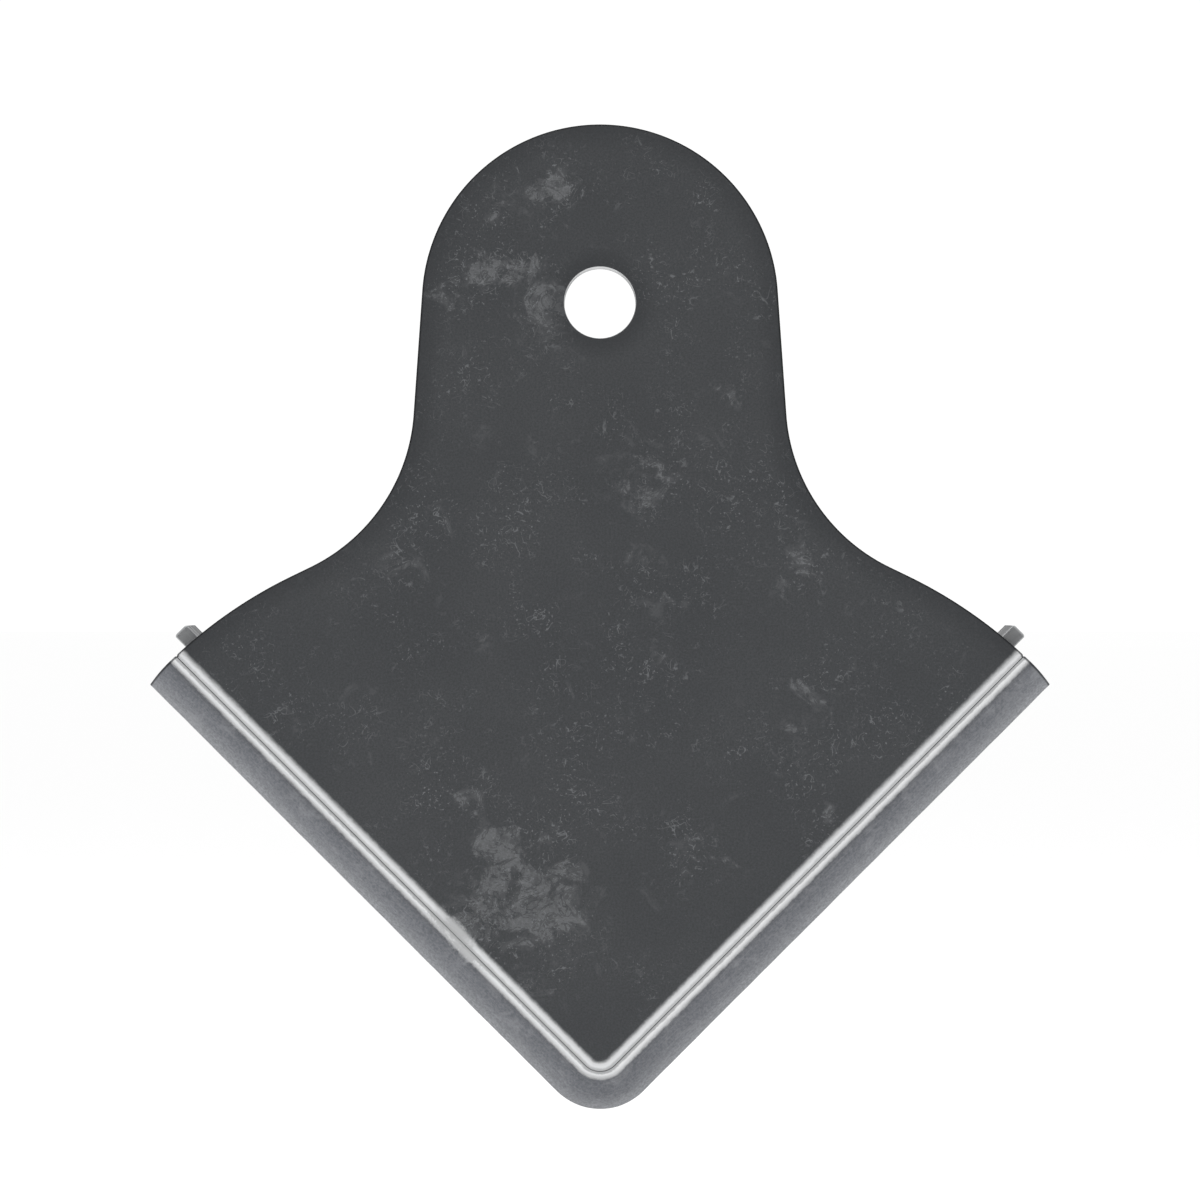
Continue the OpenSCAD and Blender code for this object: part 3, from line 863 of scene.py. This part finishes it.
# Hooks. Ten C-shaped hooks flame-cut from 16 mm plate that reach over the keys: the plate's
# hooks (numbers 0, 2 and 4 up each side) stand inside the key on their welded leg, and the
# edge's hooks (1 and 3) stand outside it. Cutting has left drag lines on their narrow faces.
HOOK_TIP = 9.0
HOOK_TOP_IN = KEY_W + 2 * KEY_PLAY
HOOK_TOP = HOOK_TOP_IN + 12.0
HOOK_CORNER_R = 8.0
SLOT_CORNER_R = 0.8
HOOK_ARRIS = 0.7
LEG_STEPS = 96
BRIDGE_STEPS = 22
DRAG_PITCH = 1.5
DRAG_DEPTH = 0.07
EDGE_FOOT_U = 14.2
LOCK_Y = KEY_PLAY + KEY_W / 2
LOCK_V = HOOK_FIRST + 4 * HOOK_PITCH
LOCK_R = 4.0


def arch(low, high, top, radius, low_foot, high_foot):
    """Up a straight leg at low, round a corner, over the bridge and down at high. Every
    arch has its points in step, so that two of them bound one bent strip."""
    low_y = span(low_foot, top - radius, LEG_STEPS)
    high_y = np.linspace(top - radius, high_foot, LEG_STEPS)
    over = span(low + radius, high - radius, BRIDGE_STEPS)
    return np.concatenate([
        np.stack([np.full(LEG_STEPS, low), low_y], -1),
        np.array([low + radius, top - radius]) + radius * facing(span(180, 90, 14)),
        np.stack([over, np.full(BRIDGE_STEPS, top)], -1),
        np.array([high - radius, top - radius]) + radius * facing(span(90, 0, 14)),
        np.stack([np.full(LEG_STEPS, high), high_y], -1),
    ])


def hook_grid(side, number, near_u, far_u, near_foot, far_foot):
    """A rounded section between the hook's outer and inner arch, carried over the key.
    Drag lines are a fine wave across the two arched faces, bowed as the torch lags."""
    outer = arch(near_u, far_u, HOOK_TOP, HOOK_CORNER_R, near_foot, far_foot)
    inner = arch(SLOT_LO, SLOT_HI, HOOK_TOP_IN, SLOT_CORNER_R, near_foot, far_foot)
    middle, reach = (outer + inner) / 2, (outer - inner) / 2
    half_t = np.linalg.norm(reach, axis=-1)
    across = reach / half_t[:, None]
    plan = section_plan(5, np.array([0.03, 0.15, 0.32, 0.5, 0.68, 0.85, 0.97]))
    foot_turn = np.radians(np.linspace(0, 90, 5))
    inset = np.zeros(len(outer))
    inset[:5], inset[-5:] = 0.5 * (1 - np.sin(foot_turn)), 0.5 * (1 - np.sin(foot_turn[::-1]))
    section = rounded(plan, half_t - inset, HOOK_W / 2 - inset, HOOK_ARRIS + 0 * half_t)
    along = np.concatenate([[0], np.cumsum(np.linalg.norm(np.diff(outer, axis=0), axis=-1))])
    a, b = section[..., 0], section[..., 1]
    bow = 0.012 * (b + HOOK_W / 2) ** 2 + 1.7 * number
    jitter = 0.6 * np.sin(along[:, None] / 4 + number)
    drag = np.sin(2 * math.pi * (along[:, None] + bow) / DRAG_PITCH + jitter)
    flat_share = np.clip((np.abs(a) / half_t[:, None] - 0.9) / 0.1, 0, 1)
    a = a * (1 - DRAG_DEPTH * (0.5 + 0.5 * drag) * flat_share / half_t[:, None])
    u = middle[:, :1] + across[:, :1] * a
    y = middle[:, 1:] + across[:, 1:] * a
    return beside(side, u, y, HOOK_FIRST + number * HOOK_PITCH + b), flat_share


def foot_heat(height):
    """Share of weld heat on a leg: full up to 3 mm and then falling off as a bell curve."""
    return np.exp(-np.clip(height - 3.0, 0, None) ** 2 / 40.0)


def bored(piece, start, stop, radius):
    """Cuts a round hole from start to stop, in millimetres, through a finished piece."""
    axis = (stop - start) / np.linalg.norm(stop - start)
    first = np.cross(axis, [0, 1, 0])
    ring = facing(span(0, 360, 40))
    rim = radius * (ring[:, :1] * first + ring[:, 1:] * np.cross(axis, first))
    cutter = make_piece("cutter", *lofts(np.stack([start + rim, stop + rim])))
    cut = piece.modifiers.new("bore", "BOOLEAN")
    cut.operation = "DIFFERENCE"
    cut.object = cutter
    cut.solver = "EXACT"
    shown = piece.evaluated_get(bpy.context.evaluated_depsgraph_get())
    mesh = bpy.data.meshes.new_from_object(shown)
    piece.modifiers.clear()
    piece.data = mesh
    bpy.data.objects.remove(cutter)


flame_cut, shader = new_material("flame_cut_steel")
place = place_in_mm(flame_cut)
cut_face = value_of(flame_cut, "cut")
scale_cloud = noise(place, 9.0, 6.0, 0.7, 0.8)
flakes = noise(place, 2.2, 5.0, 0.75)
colour = mix(fade(scale_cloud, 0.35, 0.65), grey(0.10, -0.06), grey(0.17, -0.03))
colour = mix(fade(flakes, 0.60, 0.68), colour, grey(0.30, 0.0))
cut_tone = mix(fade(flakes, 0.3, 0.7), grey(0.20, 0.02), grey(0.33, 0.0))
colour = mix(cut_face, colour, cut_tone)
heat = plus(value_of(flame_cut, "heat"), fade(scale_cloud, 0.3, 0.7, -0.1, 0.1))
colour = mix(fade(heat, 0.25, 0.50), colour, (0.20, 0.15, 0.10, 1.0))
colour = mix(fade(heat, 0.50, 0.85), colour, (0.075, 0.08, 0.11, 1.0))
feed(shader, {"Base Color": colour, "Metallic": 0.85, "Roughness": fade(flakes, 0.3, 0.7, 0.40, 0.62)})
bumped(shader, plus(flakes, times(scale_cloud, 1.5)), 0.06)

for side, side_name in SIDES:
    for number, place_name in enumerate(
        ("plate_hook_lower", "edge_hook_lower", "plate_hook_middle", "edge_hook_upper", "plate_hook_upper")
    ):
        if number % 2:
            measures = (SLOT_LO - HOOK_LEG, SLOT_HI + HOOK_TIP, 0.0, KEY_PLAY)
        else:
            measures = (SLOT_LO - HOOK_TIP, SLOT_HI + HOOK_LEG, KEY_PLAY, 0.0)
        grid, cut_share = hook_grid(side, number, *measures)
        welded_leg = np.zeros(grid.shape[:2])
        half_way = grid.shape[0] // 2
        welded = slice(0, half_way) if number % 2 else slice(half_way, None)
        welded_leg[welded] = foot_heat(grid[welded, :, 1])
        node_name = side_name + "_" + place_name
        hook = make_piece(node_name + "_steel", *lofts(grid), {
            "cut": with_hubs(cut_share), "heat": with_hubs(welded_leg)
        })
        if number == 4:
            ends = beside(side, np.array([SLOT_HI - 2, SLOT_HI + HOOK_LEG + 2]), LOCK_Y, LOCK_V)
            bored(hook, ends[0], ends[1], LOCK_R + 0.05)
        fit_piece(hook, flame_cut, "tooth", "cut_steel", node_name)


# Nose stop. A square block sawn from bar and welded behind the point, on which the lower ends
# of both keys rest.
STOP_LO = 18.0
STOP_SIDE = 18.0
STOP_H = 20.0
STOP_ARRIS = 0.8

stop_turn = np.radians(np.linspace(0, 90, 6))
stop_y = np.concatenate([
    0.3 * (1 - np.cos(stop_turn[::2])), np.linspace(0.6, STOP_H - STOP_ARRIS - 0.3, 24),
    STOP_H - STOP_ARRIS * (1 - np.sin(stop_turn))
])
stop_in = np.concatenate([
    0.3 * (1 - np.sin(stop_turn[::2])), np.zeros(24), STOP_ARRIS * (1 - np.cos(stop_turn))
])
plan = section_plan(5, np.array([0.03, 0.25, 0.5, 0.75, 0.97]))
stop_half = STOP_SIDE / 2 - stop_in
section = rounded(plan, stop_half, stop_half, STOP_ARRIS + 0 * stop_half)
stop_middle = STOP_LO + STOP_SIDE / 2
grid = beside(-1, stop_middle + section[..., 0], stop_y[:, None], stop_middle + section[..., 1])
stop = make_piece("nose_stop_block", *lofts(grid), {
    "cut": with_hubs(np.zeros(grid.shape[:2])),
    "heat": with_hubs(foot_heat(grid[..., 1])),
})
fit_piece(stop, flame_cut, "tooth", "cut_steel", "nose_stop")


# Lock screws and jam nuts. M8 zinc-plated socket set screws through the upper plate hooks,
# whose cup points bite on the keys, each locked by a thin hexagon nut against the hook.
THREAD_PITCH = 1.25
THREAD_DEPTH = 0.62
SCREW_L = 25.0
CUP_R = 2.5
TIP_R = 2.75
HEAD_R = 3.3
SOCKET_AF = 4.0
SOCKET_DEPTH = 5.0
NUT_AF = 13.0
NUT_T = 4.0
TURN_STEPS = 48


def thread(depth_along, turn):
    """Share of the thread's depth: a wave that climbs one pitch a turn, flat at both ends."""
    phase = np.abs(2 * np.mod(depth_along / THREAD_PITCH - turn / (2 * math.pi), 1) - 1)
    return np.clip(1.35 * phase - 0.175, 0, 1)


def hexagon(across_flats, turn):
    """Radius of a hexagon at each angle: half its width over the cosine from the flat's middle."""
    return across_flats / 2 / np.cos(np.mod(turn + math.pi / 6, math.pi / 3) - math.pi / 6)


def about_lock(side, along, radius, turn):
    """Points round the lock screw's axis, which runs inwards from the key."""
    return beside(side, SLOT_HI + along, LOCK_Y + radius * np.cos(turn), LOCK_V + radius * np.sin(turn))


turn = np.radians(span(0, 360, TURN_STEPS))[None]
shank = np.linspace(0.0, SCREW_L, 241)[:, None]
shank_r = LOCK_R - THREAD_DEPTH * thread(shank, turn)
shank_r = np.minimum(shank_r, np.minimum(TIP_R + shank, HEAD_R + SCREW_L - shank))
socket_r = hexagon(SOCKET_AF, turn)


def rows(*values):
    """Stacks rows round the screw's axis. A plain number makes a whole row."""
    return np.concatenate([value + 0 * turn for value in values])


screw_along = rows(
    1.3, 0.75, 0.2, 0.0, shank, SCREW_L, SCREW_L, SCREW_L - 0.25, SCREW_L - SOCKET_DEPTH / 2,
    SCREW_L - SOCKET_DEPTH, SCREW_L - SOCKET_DEPTH - 0.8
)
screw_r = rows(
    0.1, 1.2, CUP_R - 0.2, CUP_R, shank_r, HEAD_R - 0.15, 2.5, socket_r, socket_r, socket_r, 0.1
)
bore_steps = np.linspace(0.5, NUT_T - 0.5, 28)[:, None]
bore_wall = LOCK_R + 0.12 - 0.5 * (1 - thread(bore_steps, turn)) * 0.6
nut_hex = hexagon(NUT_AF, turn)
face_r = 0.47 * NUT_AF
chamfer = (nut_hex - face_r) * math.tan(math.radians(30))
nut_along = rows(
    bore_steps, NUT_T, NUT_T, NUT_T - chamfer, NUT_T - chamfer - 0.12, chamfer + 0.12, chamfer, 0.0, 0.0
)
nut_r = rows(
    bore_wall, LOCK_R + 0.55, face_r, nut_hex - 0.04, nut_hex, nut_hex, nut_hex - 0.04, face_r,
    LOCK_R + 0.55
)

zinc, shader = new_material("zinc_plating")
place = place_in_mm(zinc)
spangle = noise(place, 1.4, 4.0, 0.7)
dulled = noise(place, 4.0, 5.0, 0.7)
colour = mix(fade(spangle, 0.3, 0.7), (0.42, 0.44, 0.46, 1.0), (0.54, 0.55, 0.56, 1.0))
colour = mix(fade(dulled, 0.52, 0.66, 0.0, 0.7), colour, (0.40, 0.39, 0.36, 1.0))
feed(shader, {"Base Color": colour, "Metallic": 1.0, "Roughness": fade(dulled, 0.3, 0.7, 0.24, 0.45)})
bumped(shader, spangle, 0.01)

for side, side_name in SIDES:
    grid = about_lock(side, screw_along, screw_r, turn)
    screw = make_piece(side_name + "_lock_screw_m8", *lofts(grid), sharp=28.0)
    fit_piece(screw, zinc, side_name + "_lock", "zinc", side_name + "_lock_screw")
    grid = about_lock(side, HOOK_LEG + nut_along, nut_r, turn)
    index = np.arange(grid.shape[0] * grid.shape[1]).reshape(grid.shape[:2])
    nut = make_piece(side_name + "_jam_nut_m8", grid.reshape(-1, 3),
                     [skin_faces(index, loop=True, ring=True)], sharp=28.0)
    fit_piece(nut, zinc, side_name + "_lock", "zinc", side_name + "_jam_nut")


# Welds. Fillet beads laid by hand round the foot of each hook and of the nose stop, each a
# row of overlapping ripples, blued by their own heat.
WELD_LEG = 5.0
EDGE_WELD_LEG = 4.0
NOSE_BEAD_L = 9.9  # how far the nose stop's bead runs from its corner, on each side
RIPPLE_PITCH = 1.9
RIPPLE_DEPTH = 0.045
BEAD_STEP = 0.35
BEAD_PLACES = 15


def bead(corners, leg, seed):
    """A convex bead along a wall, turning its outside corners, as arrays of u, y and v. Its
    section lies between a straight fillet and a quarter circle, and swells in ripples that bow
    forward in the middle."""
    corners = np.array(corners, float)
    places, outward = [], []
    for start, stop in zip(corners[:-1], corners[1:]):
        length = np.linalg.norm(stop - start)
        count = max(int(length / BEAD_STEP), 4)
        normal = np.array([stop[1] - start[1], start[0] - stop[0]]) / length
        if outward:
            last = outward[-1][-1]
            turn = np.radians(np.linspace(0, 90, 16))[1:-1, None]
            outward.append(np.cos(turn) * last + np.sin(turn) * normal)
            places.append(np.tile(start, (len(turn), 1)))
        places.append(np.linspace(start, stop, count))
        outward.append(np.tile(normal, (count, 1)))
    places, outward = np.concatenate(places), np.concatenate(outward)
    middle = places + outward * leg / 2
    run = np.concatenate([[0], np.cumsum(np.linalg.norm(np.diff(middle, axis=0), axis=-1))])
    to_end = np.minimum(run, run[-1] - run)
    taper = 0.72 + 0.28 * np.clip(to_end / 2.5, 0, 1) ** 0.5
    rise = np.radians(np.linspace(0, 90, BEAD_PLACES))
    bulge = (np.cos(rise) + np.sin(rise)) ** -0.62
    wave = 2 * math.pi * (run[:, None] - 0.8 * np.sin(2 * rise)) / RIPPLE_PITCH
    wander = 0.035 * np.sin(run / 3.1 + seed) + 0.025 * np.sin(run / 1.3 + 2.1 * seed)
    ripple = RIPPLE_DEPTH * np.abs(np.sin(wave / 2 + 0.5 * np.sin(run[:, None] / 3.7 + seed)))
    size = leg * taper[:, None] * (0.95 + ripple + wander[:, None])
    out = size * bulge * np.cos(rise)
    up = size * bulge * np.sin(rise)
    root = np.array([[-0.4, 1.0], [-0.4, -0.4], [1.0, -0.4]])
    out = np.concatenate([out, root[:, 0] * np.ones((len(run), 1))], 1)
    up = np.concatenate([up, root[:, 1] * np.ones((len(run), 1))], 1)
    out[:, -1] = out[:, 0] - 0.2
    up[:, BEAD_PLACES] = up[:, BEAD_PLACES - 1] - 0.2
    return places[:, :1] + outward[:, :1] * out, up, places[:, 1:] + outward[:, 1:] * out


weld, shader = new_material("weld_bead_steel")
place = place_in_mm(weld)
tint = noise(place, 5.0, 4.0, 0.6, 0.5)
spots = noise(place, 1.3, 4.0, 0.7)
colour = mix(fade(tint, 0.35, 0.50), (0.33, 0.325, 0.325, 1.0), (0.245, 0.22, 0.19, 1.0))
colour = mix(fade(tint, 0.52, 0.64), colour, (0.15, 0.155, 0.18, 1.0))
colour = mix(fade(spots, 0.60, 0.70), colour, (0.45, 0.45, 0.45, 1.0))
feed(shader, {"Base Color": colour, "Metallic": 1.0, "Roughness": fade(spots, 0.3, 0.7, 0.34, 0.50)})
bumped(shader, spots, 0.03)

for side, side_name in SIDES:
    for group, numbers, leg, start_u, stop_u in (
        ("plate_hook_welds", (0, 2, 4), WELD_LEG, SLOT_HI + 0.6, SLOT_HI + HOOK_LEG),
        ("edge_hook_welds", (1, 3), EDGE_WELD_LEG, EDGE_FOOT_U, SLOT_LO - HOOK_LEG)
    ):
        grids = []
        for number in numbers:
            near_u, far_u, first_v, last_v = hook_foot(number, start_u, stop_u)
            if group == "edge_hook_welds":
                first_v, last_v = last_v, first_v
            wall = [[near_u, first_v], [far_u, first_v], [far_u, last_v], [near_u, last_v]]
            u, y, v = bead(wall, leg, number + 5.0 * side)
            grids.append(beside(side, u, y, v))
        beads = make_piece(side_name + "_" + group + "_beads", *lofts(*grids))
        fit_piece(beads, weld, "tooth", "weld_steel", side_name + "_" + group)

stop_far = STOP_LO + STOP_SIDE
bead_start = stop_far - NOSE_BEAD_L
u, y, v = bead([[stop_far, bead_start], [stop_far, stop_far], [bead_start, stop_far]], WELD_LEG, 3.0)
beads = make_piece("nose_stop_weld_bead", *lofts(beside(-1, u, y, v)))
fit_piece(beads, weld, "tooth", "weld_steel", "nose_stop_weld")
